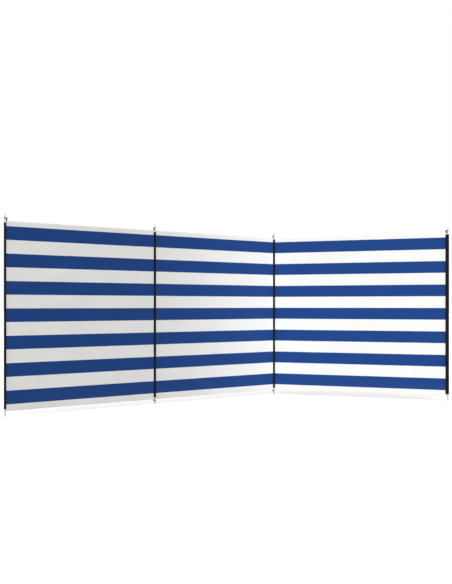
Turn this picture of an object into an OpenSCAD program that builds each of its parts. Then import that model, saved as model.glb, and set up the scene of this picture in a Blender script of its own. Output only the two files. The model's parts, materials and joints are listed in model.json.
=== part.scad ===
// Beach windbreak: three bays of striped cloth on four steel poles, set up as an L.
// Sizes are in mm and Z is up. The origin is the centre of the corner pole's foot face.
// The straight run lies along -X from the corner pole, and the right bay comes forward along -Y.
// Poles are numbered 1 to 4 from left to right, and pole 3 is the corner.

/* [Set-up] */
// Distance between the axes of two neighbouring poles
bay_w = 1790; // [1000:5:2400]
// How far the right bay is turned forward from straight
corner_turn = 90; // [0:1:90]

/* [Cloth] */
// Height of the cloth
cloth_h = 1400; // [900:5:1700]
// Number of blue stripes, with as many white ones between and beyond them
blue_stripes = 7; // [3:1:8]
// White margin above the top blue stripe
top_margin = 38; // [30:1:60]
// White margin below the bottom blue stripe
bottom_margin = 49; // [30:1:70]
// Thickness of the cloth as modelled
cloth_t = 1.2; // [0.8:0.1:1.6]
// Width of the folded hem along the top and bottom edges
hem_w = 25; // [10:1:40]
// Thickness that the folded ply adds behind the hem
hem_t = 1.2; // [0.8:0.1:1.6]
// How far the folded ply stops short of a sleeve's seam
hem_relief = 0.5; // [0.3:0.1:3]

/* [Pole sleeves] */
// Thickness of the tape
tape_t = 0.8; // [0.6:0.1:1.2]
// How far the seam on the right of poles 1 and 2 reaches past the tube
first_seam = 4.5; // [3:0.5:14]
// How far the seam on the right of pole 3 reaches past the tube
narrow_seam = 4; // [3:0.5:12]
// How far the seam on the left of poles 2 and 3 reaches past the tube
wide_seam = 10; // [5:0.5:14]
// How far the seam on the left of pole 4 reaches past the tube
end_seam = 16; // [5:0.5:24]
// How far the tape stops below the top edge of the cloth
pocket_top_gap = 12; // [6:1:25]
// How far the tape stops above the bottom edge of the cloth
pocket_bottom_gap = 15; // [6:1:25]

/* [Poles] */
// Outside diameter of the steel tube
tube_d = 16; // [12:0.5:28]
// Wall of the steel tube
tube_wall = 0.8; // [0.6:0.1:1.5]
// Tube that shows above the cloth
tube_above = 19; // [16:1:40]
// Tube that shows below the cloth
tube_below = 9; // [9:1:30]
// Length of the end plugs inside the tube
plug_h = 25; // [15:1:40]
// Diameter of the neck that an elastic loop sits in
neck_d = 7; // [5:0.5:12]
// Height of the collar or barb that keeps a loop on its neck
collar_h = 3.5; // [2:0.5:6]
// Diameter of the barb on the top plug
barb_d = 11; // [10:0.5:16]
// Height of the pointed foot
foot_h = 24.5; // [14:0.5:40]
// Diameter of the flat at the end of the foot
foot_flat_d = 5; // [4:0.5:8]
// Diameter of the guy-line spike at the top
spike_d = 7; // [4:0.5:10]
// Straight length of the spike
spike_h = 23.5; // [14:0.5:30]
// Height of the spike's tapered end
spike_tip_h = 3; // [2:0.5:5]

/* [Elastic loops] */
// Diameter of the elastic cord at poles 2 and 3
cord_d = 4.5; // [3:0.25:6]
// Diameter of the heavier cord at the end poles, which hold the row taut
end_cord_d = 6; // [3:0.25:7]
// Distance from the tube to the centre line of a top loop's nearer leg
top_stand = 5.4; // [4.5:0.1:8]
// Distance from the tube to the centre line of a bottom loop's nearer leg
bottom_stand = 9; // [4.5:0.1:10]

/* [Fits] */
// Gap between the tube and its sleeve
pole_fit = 0.3; // [0.2:0.05:0.6]
// Gap between the tube's bore and the end plugs
plug_fit = 0.2; // [0.1:0.05:0.3]
// Gap between an elastic loop and what it touches
loop_fit = 0.3; // [0.2:0.05:0.6]
// Gap above and below the thickest cord in its neck
neck_room = 0.5; // [0.3:0.1:1.5]
// Gap between a sleeve and the bound edge that swings round it
swing_fit = 0.3; // [0.2:0.05:0.5]

/* [Hidden] */
tube_r = tube_d / 2;
bore_r = tube_r - tube_wall;
neck_h = max(cord_d, end_cord_d) + 2 * neck_room;
stripe_h = (cloth_h - top_margin - bottom_margin) / (2 * blue_stripes - 1);
// The cloth lies in the plane of the pole axes, between the two plies of each seam.
seam_half = cloth_t / 2 + tape_t;
sleeve_r = tube_r + pole_fit + tape_t;
sleeve_h = cloth_h - pocket_top_gap - pocket_bottom_gap;
first_x = tube_r + first_seam;
narrow_x = tube_r + narrow_seam;
wide_x = tube_r + wide_seam;
end_x = tube_r + end_seam;
// A bound edge starts just outside the sleeve, and the cloth starts inside its fold.
bound_x = sleeve_r + swing_fit;
cloth_x = bound_x + tape_t;
// Heights along a pole, from the foot face up.
z_foot_collar = foot_h;
z_foot_neck = z_foot_collar + collar_h;
z_tube_bottom = z_foot_neck + neck_h;
z_cloth_bottom = z_tube_bottom + tube_below;
z_cloth_top = z_cloth_bottom + cloth_h;
z_tube_top = z_cloth_top + tube_above;
z_barb = z_tube_top + neck_h;
z_spike = z_barb + collar_h;
z_sleeve = z_cloth_bottom + pocket_bottom_gap;
eps = 0.02;
$fn = 64;

cloth_white = [0.93, 0.93, 0.91];
cloth_blue = [0.12, 0.24, 0.48];
tape_black = [0.06, 0.06, 0.07];
cord_black = [0.03, 0.03, 0.03];
zinc = [0.78, 0.79, 0.8];
grey_nylon = [0.72, 0.73, 0.74];

// Turns the right bay forward about the corner pole.
module right_bay() {
    rotate([0, 0, -corner_turn])
        children();
}

// Puts children at the foot of a pole.
module at_pole(i) {
    if (i < 4)
        translate([(i - 3) * bay_w, 0, 0])
            children();
    else
        right_bay()
            translate([bay_w, 0, 0])
                children();
}

// Bottom of stripe i, counted up from the bottom margin.
function stripe_z(i) = z_cloth_bottom + (i == 0 ? 0 : bottom_margin + (i - 1) * stripe_h);

// One bay of cloth from x0 to x1: stripes woven in one length, and a hem between hem_x0 and hem_x1.
module cloth(x0, x1, hem_x0, hem_x1) {
    top = 2 * blue_stripes;
    for (i = [0 : top]) {
        z0 = stripe_z(i) - (i == 0 ? 0 : eps);
        z1 = i == top ? z_cloth_top : stripe_z(i + 1);
        color(i % 2 == 1 ? cloth_blue : cloth_white)
            translate([x0, -cloth_t / 2, z0])
                cube([x1 - x0, cloth_t, z1 - z0]);
    }
    for (z = [z_cloth_bottom, z_cloth_top - hem_w])
        color(cloth_white)
            translate([hem_x0, cloth_t / 2 - eps, z])
                cube([hem_x1 - hem_x0, hem_t + eps, hem_w]);
}

// Steel tube from the foot plug to the top plug.
module tube() {
    color(zinc)
        translate([0, 0, z_tube_bottom])
            difference() {
                cylinder(h = z_tube_top - z_tube_bottom, r = tube_r);
                translate([0, 0, -1])
                    cylinder(h = z_tube_top - z_tube_bottom + 2, r = bore_r);
            }
}

// Two plies of tape from x0 to x1 with the cloth's thickness between them, open from slot_x on.
module plies(x0, x1, slot_x) {
    difference() {
        translate([x0, -seam_half, 0])
            cube([x1 - x0, 2 * seam_half, sleeve_h]);
        translate([slot_x, -cloth_t / 2, -1])
            cube([x1 - slot_x + 1, cloth_t, sleeve_h + 2]);
    }
}

// Tape sewn round a pole, with a seam that holds the cloth on the side that is given a reach.
module sleeve(left, right) {
    color(tape_black)
        translate([0, 0, z_sleeve])
            difference() {
                union() {
                    cylinder(h = sleeve_h, r = sleeve_r);
                    if (left > 0)
                        mirror([1, 0, 0])
                            plies(0, left, sleeve_r);
                    if (right > 0)
                        plies(0, right, sleeve_r);
                }
                translate([0, 0, -1])
                    cylinder(h = sleeve_h + 2, r = tube_r + pole_fit);
            }
}

// Edge of an end bay, bound with tape, that swings round a sleeve.
module bound_edge(reach) {
    color(tape_black)
        translate([0, 0, z_sleeve])
            plies(bound_x, reach, cloth_x);
}

// Top plug: a neck for the elastic loop, a barb that keeps it there, and a spike for a guy line.
module pole_top() {
    color(grey_nylon)
        union() {
            translate([0, 0, z_tube_top - plug_h])
                cylinder(h = plug_h, r = bore_r - plug_fit);
            translate([0, 0, z_tube_top - eps])
                cylinder(h = neck_h + 2 * eps, d = neck_d);
            translate([0, 0, z_barb])
                cylinder(h = collar_h, d1 = barb_d, d2 = spike_d);
            translate([0, 0, z_spike - eps])
                cylinder(h = spike_h + eps, d = spike_d);
            translate([0, 0, z_spike + spike_h])
                cylinder(h = spike_tip_h, d1 = spike_d, d2 = spike_d / 2);
        }
}

// Foot plug: a point with a flat end, a collar, and a neck for the elastic loop.
module pole_foot() {
    color(grey_nylon)
        union() {
            cylinder(h = foot_h, d1 = foot_flat_d, r2 = tube_r);
            translate([0, 0, z_foot_collar])
                cylinder(h = collar_h, r = tube_r);
            translate([0, 0, z_foot_neck - eps])
                cylinder(h = neck_h + 2 * eps, d = neck_d);
            translate([0, 0, z_tube_bottom])
                cylinder(h = plug_h, r = bore_r - plug_fit);
        }
}

// A point at a radius and a turn from -X towards the front, at a height.
function around(r, a, z) = [-r * cos(a), -r * sin(a), z];

// Points that a cord of diameter d passes.
// It goes up from the cloth, round the front of the neck and down behind it.
// The rise is the height of the tube that shows past the cloth.
// Both ends of the cord stand on the cloth's edge, side by side, and the nearer one is off the tube by stand.
function cord_points(rise, d, stand) =
    let (
        in = tube_r + stand,
        out = in + d + 2 * loop_fit,
        ring = neck_d / 2 + 2 * loop_fit + d / 2,
        past = tube_r + 0.665 * d,
        mid = rise + neck_h / 2
    )
    concat(
        [
            [-out, 0, loop_fit],
            [-out, 0, 0.4 * rise],
            around(in + d, 8, 0.91 * rise),
            around(past, 49, mid)
        ],
        [for (k = [0 : 7]) around(ring, 97 + k * 166 / 7, mid)],
        [
            around(past, 311, mid),
            around(in + 0.18 * d, 346.3, 0.97 * rise),
            [-in, 0, 0.4 * rise],
            [-in, 0, loop_fit]
        ]
    );

// Curve through points p, at t from 0 to 1 between p[i] and p[i + 1].
function near(p, i) = p[min(max(i, 0), len(p) - 1)];
function curve_at(p, i, t) =
    let (a = near(p, i - 1), b = near(p, i), c = near(p, i + 1), d = near(p, i + 2))
    0.5 * (2 * b + (c - a) * t + (2 * a - 5 * b + 4 * c - d) * t * t
        + (3 * b - 3 * c + d - a) * t * t * t);
function curve(p, n) = concat(
    [for (i = [0 : len(p) - 2], k = [0 : n - 1]) curve_at(p, i, k / n)],
    [p[len(p) - 1]]
);

function unit(v) = v / norm(v);
// Direction of the path at point i. Both ends stand upright, so that their faces are level.
function along(q, i) =
    i == 0 ? [0, 0, 1] : i == len(q) - 1 ? [0, 0, -1] : unit(q[i + 1] - q[i - 1]);
// The section is carried along the path, so it doesn't twist.
function carried(q, i, u) =
    let (v = along(q, i))
    unit(u - (u * v) * v);
function frames(q, i, u) =
    i == len(q) ? [] : let (w = carried(q, i, u)) concat([w], frames(q, i + 1, w));

// Round cord along the path q.
module cord(q, d, sides) {
    f = frames(q, 0, [1, 0, 0]);
    ring = [for (k = [0 : sides - 1]) 360 * k / sides];
    points = [for (i = [0 : len(q) - 1], a = ring)
        q[i] + d / 2 * (cos(a) * f[i] + sin(a) * cross(along(q, i), f[i]))];
    n = len(q);
    tops = [for (k = [0 : sides - 1]) k];
    ends = [for (k = [sides - 1 : -1 : 0]) (n - 1) * sides + k];
    walls = [for (i = [0 : n - 2], k = [0 : sides - 1], half = [0, 1])
        let (a = i * sides + k, b = i * sides + (k + 1) % sides)
        half == 0 ? [a, a + sides, b] : [b, a + sides, b + sides]];
    polyhedron(points = points, faces = concat([tops], walls, [ends]), convexity = 6);
}

// Elastic loop from the cloth round a pole's neck. The side is -1 for the left of the pole.
module loop(side, rise, d, stand) {
    color(cord_black)
        mirror([side > 0 ? 1 : 0, 0, 0])
            cord(curve(cord_points(rise, d, stand), 2), d, 8);
}

module top_loop(side, d) {
    translate([0, 0, z_cloth_top])
        loop(side, tube_above, d, top_stand);
}

module bottom_loop(side, d) {
    translate([0, 0, z_cloth_bottom])
        mirror([0, 0, 1])
            loop(side, tube_below, d, bottom_stand);
}

module left_cloth() {
    x_left = -2 * bay_w;
    x_right = -bay_w;
    cloth(x_left + cloth_x, x_right - cloth_x, x_left + first_x + hem_relief, x_right - wide_x - hem_relief);
}

module middle_cloth() {
    x_left = -bay_w;
    cloth(x_left + cloth_x, -cloth_x, x_left + first_x + hem_relief, -wide_x - hem_relief);
}

module right_cloth() {
    right_bay()
        cloth(cloth_x, bay_w - cloth_x, narrow_x + hem_relief, bay_w - end_x - hem_relief);
}

module pole_1() {
    at_pole(1) tube();
}

module pole_2() {
    at_pole(2) tube();
}

module pole_3() {
    at_pole(3) tube();
}

module pole_4() {
    at_pole(4) tube();
}

// A sleeve has no seam at a free end, nor where the next bay's bound edge swings round it.
module pocket_1() {
    at_pole(1) sleeve(0, first_x);
}

module pocket_2() {
    at_pole(2) sleeve(0, first_x);
}

module pocket_3() {
    at_pole(3) sleeve(wide_x, 0);
}

module pocket_4() {
    at_pole(4) sleeve(end_x, 0);
}

module left_seam() {
    at_pole(2) mirror([1, 0, 0]) bound_edge(wide_x);
}

module right_seam() {
    right_bay() at_pole(3) bound_edge(narrow_x);
}

module pole_top_1() {
    at_pole(1) pole_top();
}

module pole_top_2() {
    at_pole(2) pole_top();
}

module pole_top_3() {
    at_pole(3) pole_top();
}

module pole_top_4() {
    at_pole(4) pole_top();
}

module pole_foot_1() {
    at_pole(1) pole_foot();
}

module pole_foot_2() {
    at_pole(2) pole_foot();
}

module pole_foot_3() {
    at_pole(3) pole_foot();
}

module pole_foot_4() {
    at_pole(4) pole_foot();
}

// The loop of pole 1 is sewn to the cloth on its right, and the others to the cloth on their left.
module top_loop_1() {
    at_pole(1) top_loop(1, end_cord_d);
}

module top_loop_2() {
    at_pole(2) top_loop(-1, cord_d);
}

module top_loop_3() {
    at_pole(3) top_loop(-1, cord_d);
}

module top_loop_4() {
    at_pole(4) top_loop(-1, end_cord_d);
}

module bottom_loop_2() {
    at_pole(2) bottom_loop(-1, cord_d);
}

module bottom_loop_3() {
    at_pole(3) bottom_loop(-1, cord_d);
}

left_cloth();
middle_cloth();
right_cloth();
pole_1();
pole_2();
pole_3();
pole_4();
pocket_1();
pocket_2();
pocket_3();
pocket_4();
left_seam();
right_seam();
pole_top_1();
pole_top_2();
pole_top_3();
pole_top_4();
pole_foot_1();
pole_foot_2();
pole_foot_3();
pole_foot_4();
top_loop_1();
top_loop_2();
top_loop_3();
top_loop_4();
bottom_loop_2();
bottom_loop_3();
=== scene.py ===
"""Striped beach windbreak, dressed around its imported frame.

Three bays of striped cloth stand on four steel poles. The cloth, the black pole sleeves, the end plugs
and the elastic loops are modelled here. The steel tubes keep their solids and get a finish.

Sizes are in millimetres in each piece's own place, and in metres once a piece is in the row frame.
A pole's own place has x along the cloth, y from the pole's axis to the back, and z up.
"""

import json
import logging
import math
from dataclasses import dataclass, field
from enum import Enum
from typing import Any, Mapping, Optional, Sequence, Union

import bmesh
import bpy
import numpy as np
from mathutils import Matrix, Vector

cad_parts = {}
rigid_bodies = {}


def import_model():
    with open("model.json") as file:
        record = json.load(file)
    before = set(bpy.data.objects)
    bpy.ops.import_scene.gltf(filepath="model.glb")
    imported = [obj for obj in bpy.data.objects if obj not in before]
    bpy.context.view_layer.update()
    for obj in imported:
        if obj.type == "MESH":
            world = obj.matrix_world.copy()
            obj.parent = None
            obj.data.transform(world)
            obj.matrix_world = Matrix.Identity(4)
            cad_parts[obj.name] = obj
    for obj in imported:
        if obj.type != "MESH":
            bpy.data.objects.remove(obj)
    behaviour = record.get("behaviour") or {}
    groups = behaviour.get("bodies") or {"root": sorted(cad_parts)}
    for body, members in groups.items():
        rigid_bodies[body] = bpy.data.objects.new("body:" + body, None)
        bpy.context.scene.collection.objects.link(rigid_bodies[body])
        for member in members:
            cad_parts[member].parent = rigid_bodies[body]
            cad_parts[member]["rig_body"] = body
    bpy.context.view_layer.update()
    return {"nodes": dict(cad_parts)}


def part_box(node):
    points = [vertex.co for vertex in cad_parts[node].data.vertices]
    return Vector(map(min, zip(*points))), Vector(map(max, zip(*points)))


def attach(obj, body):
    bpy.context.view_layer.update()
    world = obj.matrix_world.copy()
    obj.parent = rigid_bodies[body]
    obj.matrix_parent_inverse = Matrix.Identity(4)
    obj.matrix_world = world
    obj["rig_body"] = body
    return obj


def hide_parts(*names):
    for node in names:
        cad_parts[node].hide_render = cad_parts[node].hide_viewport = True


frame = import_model()

LOG = logging.getLogger("windbreak")
MM = 0.001
# At a scale of 1, the bands of a wave texture lie this far apart.
WAVE_BAND = math.tau / 20

Material = bpy.types.Material
Node = bpy.types.Node
Piece = bpy.types.Object
Socket = bpy.types.NodeSocket
Tree = bpy.types.NodeTree
Colour = tuple[float, float, float, float]
Face = tuple[int, ...]
Pair = tuple[float, float]
Point = tuple[float, float, float]

WHITE: Colour = (1.0, 1.0, 1.0, 1.0)
ALONG: Point = (1.0, 0.0, 0.0)
FRONT: Point = (0.0, -1.0, 0.0)
BACK: Point = (0.0, 1.0, 0.0)
UP: Point = (0.0, 0.0, 1.0)


class Side(Enum):
    """Which side of a pole a piece is on, as the sign of its local x."""

    LEFT = -1
    RIGHT = 1


class End(Enum):
    """Which end of a pole a piece is at, as the sign of its local z."""

    BOTTOM = -1
    TOP = 1


# Helpers for materials

def linear(hex_code: str) -> Colour:
    """Turns an sRGB colour to the linear values that a shader takes.

    Args:
        hex_code: Six hex digits after a hash sign.

    Returns:
        Linear red, green and blue, and an alpha of 1.
    """
    parts = [int(hex_code[i:i + 2], 16) / 255 for i in (1, 3, 5)]
    red, green, blue = (c / 12.92 if c <= 0.04045 else ((c + 0.055) / 1.055) ** 2.4 for c in parts)
    return red, green, blue, 1.0


def add_node(
    tree: Tree,
    kind: str,
    inputs: Optional[Mapping[Union[int, str], Any]] = None,
    **settings: Any,
) -> Node:
    """Adds a node with its settings and links.

    Args:
        tree: The node tree that gets the node.
        kind: The node's type name, without the words that all of them start with.
        inputs: What each input socket takes: an output socket to link, or a fixed value.
        **settings: Properties of the node itself.

    Returns:
        The new node.
    """
    node = tree.nodes.new(f"ShaderNode{kind}")
    for key, value in settings.items():
        setattr(node, key, value)
    for key, value in (inputs or {}).items():
        if isinstance(value, Socket):
            tree.links.new(value, node.inputs[key])
        else:
            node.inputs[key].default_value = value
    return node


def new_material(name: str, values: Mapping[str, Any]) -> tuple[Material, Tree, Node]:
    """Starts a material that holds one Principled shader.

    Args:
        name: The material's name.
        values: What the shader's sockets are set to where it is the same all over.

    Returns:
        The material, its node tree and its shader.
    """
    material = bpy.data.materials.new(name)
    material.use_nodes = True
    tree = material.node_tree
    tree.nodes.clear()
    shader = add_node(tree, "BsdfPrincipled", values)
    add_node(tree, "OutputMaterial", {"Surface": shader.outputs["BSDF"]})
    return material, tree, shader


def finish_shader(
    tree: Tree,
    shader: Node,
    colour: Socket,
    rough: tuple[Socket, Pair],
    relief: tuple[Socket, float, float],
) -> None:
    """Links a finish's colour, roughness and relief to its shader.

    Args:
        tree: The node tree.
        shader: The finish's shader.
        colour: The colour.
        rough: A value from 0 to 1, and the roughness at 0 and at 1.
        relief: A height from 0 to 1, how much it counts, and its depth in metres.
    """
    value, (low, high) = rough
    height, share, depth = relief
    ranged = add_node(tree, "MapRange", {"Value": value, "To Min": low, "To Max": high})
    bump = add_node(tree, "Bump", {"Height": height, "Strength": share, "Distance": depth})
    tree.links.new(colour, shader.inputs["Base Color"])
    tree.links.new(ranged.outputs[0], shader.inputs["Roughness"])
    tree.links.new(bump.outputs[0], shader.inputs["Normal"])


def per_mm(size_mm: float) -> float:
    """Gives the scale at which a pattern in metres repeats once in so many millimetres."""
    return 1.0 / (size_mm * MM)


# Finishes

@dataclass(frozen=True)
class StripedPolyester:
    """Plain-woven polyester with broad blue stripes in a white ground.

    Dyed yarn in a plain weave gives a matt face with faint streaks along both sets of threads, a thread's
    wander along each edge of a stripe, a slight sheen, and a little sand held in the lowest part.
    """

    name: str = "woven_polyester_striped"
    white: str = "#E5E5E3"
    blue: str = "#1B3F7D"
    sand: str = "#C9B692"
    stripe_mm: float = 101.0
    first_stripe_mm: float = 93.0
    # Real threads lie 0.4 mm apart. They are drawn ten times as coarse, or none would show.
    thread_mm: float = 4.0
    # Slubs are 1 mm thick and are drawn eight times as thick, for the same reason.
    slub_mm: float = 8.0
    slub_length_mm: float = 320.0
    fade_mm: float = 420.0
    edge_wander_mm: float = 0.8
    sand_top_mm: float = 190.0
    sand_share: float = 0.025
    weft_tone: float = 0.07
    warp_tone: float = 0.05
    fade_tone: float = 0.05
    roughness: Pair = (0.74, 0.9)
    crossing_share: float = 0.4
    relief_share: float = 0.35
    relief_m: float = 0.0006
    ior: float = 1.57
    specular: float = 0.08
    sheen: float = 0.01
    sheen_roughness: float = 0.45

    def build(self) -> Material:
        """Makes the material.

        Returns:
            The material.
        """
        material, tree, shader = new_material(self.name, {
            "IOR": self.ior,
            "Specular IOR Level": self.specular,
            "Sheen Weight": self.sheen,
            "Sheen Roughness": self.sheen_roughness,
        })
        place = add_node(tree, "TexCoord").outputs["Object"]
        axes = add_node(tree, "SeparateXYZ", {0: place}).outputs
        height = axes["Z"]
        # One bay lies along X and its neighbour along Y, so the sum runs along either.
        across = add_node(tree, "Math", {0: axes["X"], 1: axes["Y"]}, operation="ADD").outputs[0]
        weft = self._streaks(tree, across, height, self.slub_length_mm, self.slub_mm)
        warp = self._streaks(tree, across, height, self.slub_mm, self.slub_length_mm)
        fade = add_node(tree, "TexNoise",
                        {"Vector": place, "Scale": per_mm(self.fade_mm), "Detail": 3.0}).outputs[0]
        cloth = self._stripes(tree, height, warp)
        tone = self._tone(tree, (weft, self.weft_tone), (warp, self.warp_tone), (fade, self.fade_tone))
        toned = add_node(tree, "HueSaturation", {"Color": cloth, "Value": tone}).outputs[0]
        colour = self._sanded(tree, toned, height, fade)
        relief = self._relief(tree, across, height, weft, warp)
        finish_shader(tree, shader, colour, (weft, self.roughness),
                      (relief, self.relief_share, self.relief_m))
        return material

    def _streaks(self, tree: Tree, across: Socket, height: Socket, across_mm: float,
                 height_mm: float) -> Socket:
        """Makes noise that is drawn out along one set of threads.

        Args:
            tree: The node tree.
            across: Place along the cloth, in metres.
            height: Height, in metres.
            across_mm: Size of the noise along the cloth.
            height_mm: Size of the noise up the cloth.

        Returns:
            The socket with the noise, from 0 to 1.
        """
        u = add_node(tree, "Math", {0: across, 1: per_mm(across_mm)}, operation="MULTIPLY").outputs[0]
        v = add_node(tree, "Math", {0: height, 1: per_mm(height_mm)}, operation="MULTIPLY").outputs[0]
        place = add_node(tree, "CombineXYZ", {0: u, 1: v}).outputs[0]
        return add_node(tree, "TexNoise", {"Vector": place, "Scale": 1.0, "Detail": 2.0}).outputs[0]

    def _stripes(self, tree: Tree, height: Socket, warp: Socket) -> Socket:
        """Lays the stripes: blue for each even stripe, counted from the first.

        Args:
            tree: The node tree.
            height: Height, in metres.
            warp: Streaks that make a stripe's edge wander.

        Returns:
            The socket with the colour.
        """
        wander = self.edge_wander_mm / self.stripe_mm
        start = -self.first_stripe_mm / self.stripe_mm - wander / 2
        count = add_node(tree, "Math", {0: height, 1: per_mm(self.stripe_mm), 2: start},
                         operation="MULTIPLY_ADD").outputs[0]
        moved = add_node(tree, "Math", {0: warp, 1: wander, 2: count}, operation="MULTIPLY_ADD").outputs[0]
        phase = add_node(tree, "Math", {0: moved, 1: 2.0}, operation="FLOORED_MODULO").outputs[0]
        dyed = add_node(tree, "Math", {0: phase, 1: 1.0}, operation="LESS_THAN").outputs[0]
        mixed = add_node(tree, "Mix", {"Factor": dyed, "A": linear(self.white), "B": linear(self.blue)},
                         data_type="RGBA")
        return mixed.outputs["Result"]

    def _tone(self, tree: Tree, *parts: tuple[Socket, float]) -> Socket:
        """Adds up variations round a value of 1.

        Args:
            tree: The node tree.
            *parts: Each variation from 0 to 1, and how much it counts.

        Returns:
            The socket with the sum.
        """
        total: Any = 1.0 - sum(weight for _, weight in parts) / 2
        for value, weight in parts:
            total = add_node(tree, "Math", {0: value, 1: weight, 2: total},
                             operation="MULTIPLY_ADD").outputs[0]
        return total

    def _sanded(self, tree: Tree, colour: Socket, height: Socket, patches: Socket) -> Socket:
        """Holds a little sand in the lowest part of the cloth.

        Args:
            tree: The node tree.
            colour: The clean cloth.
            height: Height, in metres.
            patches: Noise that breaks the sand up.

        Returns:
            The socket with the colour.
        """
        share = add_node(tree, "MapRange", {"Value": height, "From Min": self.sand_top_mm * MM,
                                            "From Max": 0.0, "To Max": self.sand_share}).outputs[0]
        broken = add_node(tree, "Math", {0: share, 1: patches}, operation="MULTIPLY").outputs[0]
        mixed = add_node(tree, "Mix", {"Factor": broken, "A": colour, "B": linear(self.sand)},
                         data_type="RGBA")
        return mixed.outputs["Result"]

    def _relief(self, tree: Tree, across: Socket, height: Socket, weft: Socket, warp: Socket) -> Socket:
        """Makes the weave's relief: crossings of threads, with thick slubs among them.

        Args:
            tree: The node tree.
            across: Place along the cloth, in metres.
            height: Height, in metres.
            weft: Streaks along the cloth.
            warp: Streaks up the cloth.

        Returns:
            The socket with the relief.
        """
        turns = math.tau * per_mm(2 * self.thread_mm)
        waves = []
        for along in (across, height):
            angle = add_node(tree, "Math", {0: along, 1: turns}, operation="MULTIPLY").outputs[0]
            waves.append(add_node(tree, "Math", {0: angle}, operation="SINE").outputs[0])
        crossing = add_node(tree, "Math", {0: waves[0], 1: waves[1]}, operation="MULTIPLY").outputs[0]
        slubs = add_node(tree, "Math", {0: weft, 1: warp}, operation="ADD").outputs[0]
        return add_node(tree, "Math", {0: crossing, 1: self.crossing_share, 2: slubs},
                        operation="MULTIPLY_ADD").outputs[0]


@dataclass(frozen=True)
class RibbedFinish:
    """A dark or pale fibre finish with close ribs across its length.

    Ribbed polyester tape is black, matt and finely ridged, and a painted highlight makes its ribs a little
    grey.
    Spun sewing thread and braided elastic look alike at their own scale, so they share this with other
    colours;
    on the pale thread the ribs get painted shade instead.
    """

    name: str
    base: str
    # Colour on the ribs: painted highlight on dark fibre, painted shade on the pale thread.
    painted_rib_shading: str
    rib_mm: float
    roughness: Pair = (0.7, 0.9)
    relief_m: float = 0.0003
    relief_share: float = 0.5
    fuzz_ribs: float = 9.0
    uneven: float = 0.6
    ior: float = 1.57
    specular: float = 0.08
    sheen: float = 0.02

    def build(self) -> Material:
        """Makes the material.

        Returns:
            The material.
        """
        material, tree, shader = new_material(
            self.name, {"IOR": self.ior, "Specular IOR Level": self.specular, "Sheen Weight": self.sheen})
        place = add_node(tree, "TexCoord").outputs["Object"]
        fuzz_scale = per_mm(self.rib_mm * self.fuzz_ribs)
        fuzz = add_node(tree, "TexNoise", {"Vector": place, "Scale": fuzz_scale, "Detail": 4.0}).outputs[0]
        ribs = add_node(tree, "TexWave", {"Vector": place, "Scale": WAVE_BAND * per_mm(self.rib_mm),
                                          "Distortion": self.uneven, "Detail": 1.0},
                        bands_direction="Z").outputs["Fac"]
        # Painted rib light and shade: the ribs, broken up by fuzz, take the rib colour.
        wear_and_rib_shading = add_node(tree, "Math", {0: ribs, 1: fuzz}, operation="MULTIPLY").outputs[0]
        mixed = add_node(tree, "Mix", {"Factor": wear_and_rib_shading, "A": linear(self.base), "B": linear(self.painted_rib_shading)},
                         data_type="RGBA")
        finish_shader(tree, shader, mixed.outputs["Result"], (fuzz, self.roughness),
                      (ribs, self.relief_share, self.relief_m))
        return material


@dataclass(frozen=True)
class DrawnFinish:
    """A hard finish with marks drawn along the pole, for plated tube and for moulded plugs.

    Bright zinc plating on drawn tube is a cool grey metal with fine lines along its length and cloudy
    Moulded nylon is a pale grey with a soft gloss and slight cloudiness. The marks grow darker towards the
    ground.
    """

    name: str
    base: str
    wear_and_rib_shading: str
    metallic: float
    roughness: Pair
    line_mm: float
    line_length_mm: float
    cloud_mm: float
    relief_m: float
    relief_share: float = 0.3
    darkened_below_mm: float = 26.0
    low_darkening: float = 3.0
    ior: float = 1.5

    def build(self) -> Material:
        """Makes the material.

        Returns:
            The material.
        """
        material, tree, shader = new_material(self.name, {"Metallic": self.metallic, "IOR": self.ior})
        place = add_node(tree, "TexCoord").outputs["Object"]
        drawn_out = (per_mm(self.line_mm), per_mm(self.line_mm), per_mm(self.line_length_mm))
        stretched = add_node(tree, "Mapping", {"Vector": place, "Scale": drawn_out}).outputs[0]
        lines = add_node(tree, "TexNoise", {"Vector": stretched, "Scale": 1.0, "Detail": 3.0}).outputs[0]
        clouds = add_node(tree, "TexNoise",
                          {"Vector": place, "Scale": per_mm(self.cloud_mm), "Detail": 4.0}).outputs[0]
        height = add_node(tree, "SeparateXYZ", {0: place}).outputs["Z"]
        # The marks grow darker below a set height, towards the ground.
        ground_darkening = add_node(tree, "MapRange",
                          {"Value": height, "From Min": self.darkened_below_mm * MM, "From Max": 0.0,
                           "To Min": 1.0, "To Max": self.low_darkening}).outputs[0]
        drawn = add_node(tree, "Math", {0: lines, 1: clouds}, operation="MULTIPLY").outputs[0]
        marks = add_node(tree, "Math", {0: drawn, 1: ground_darkening}, operation="MULTIPLY").outputs[0]
        mixed = add_node(tree, "Mix", {"Factor": marks, "A": linear(self.base), "B": linear(self.wear_and_rib_shading)},
                         data_type="RGBA")
        finish_shader(tree, shader, mixed.outputs["Result"], (marks, self.roughness),
                      (lines, self.relief_share, self.relief_m))
        return material


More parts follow.
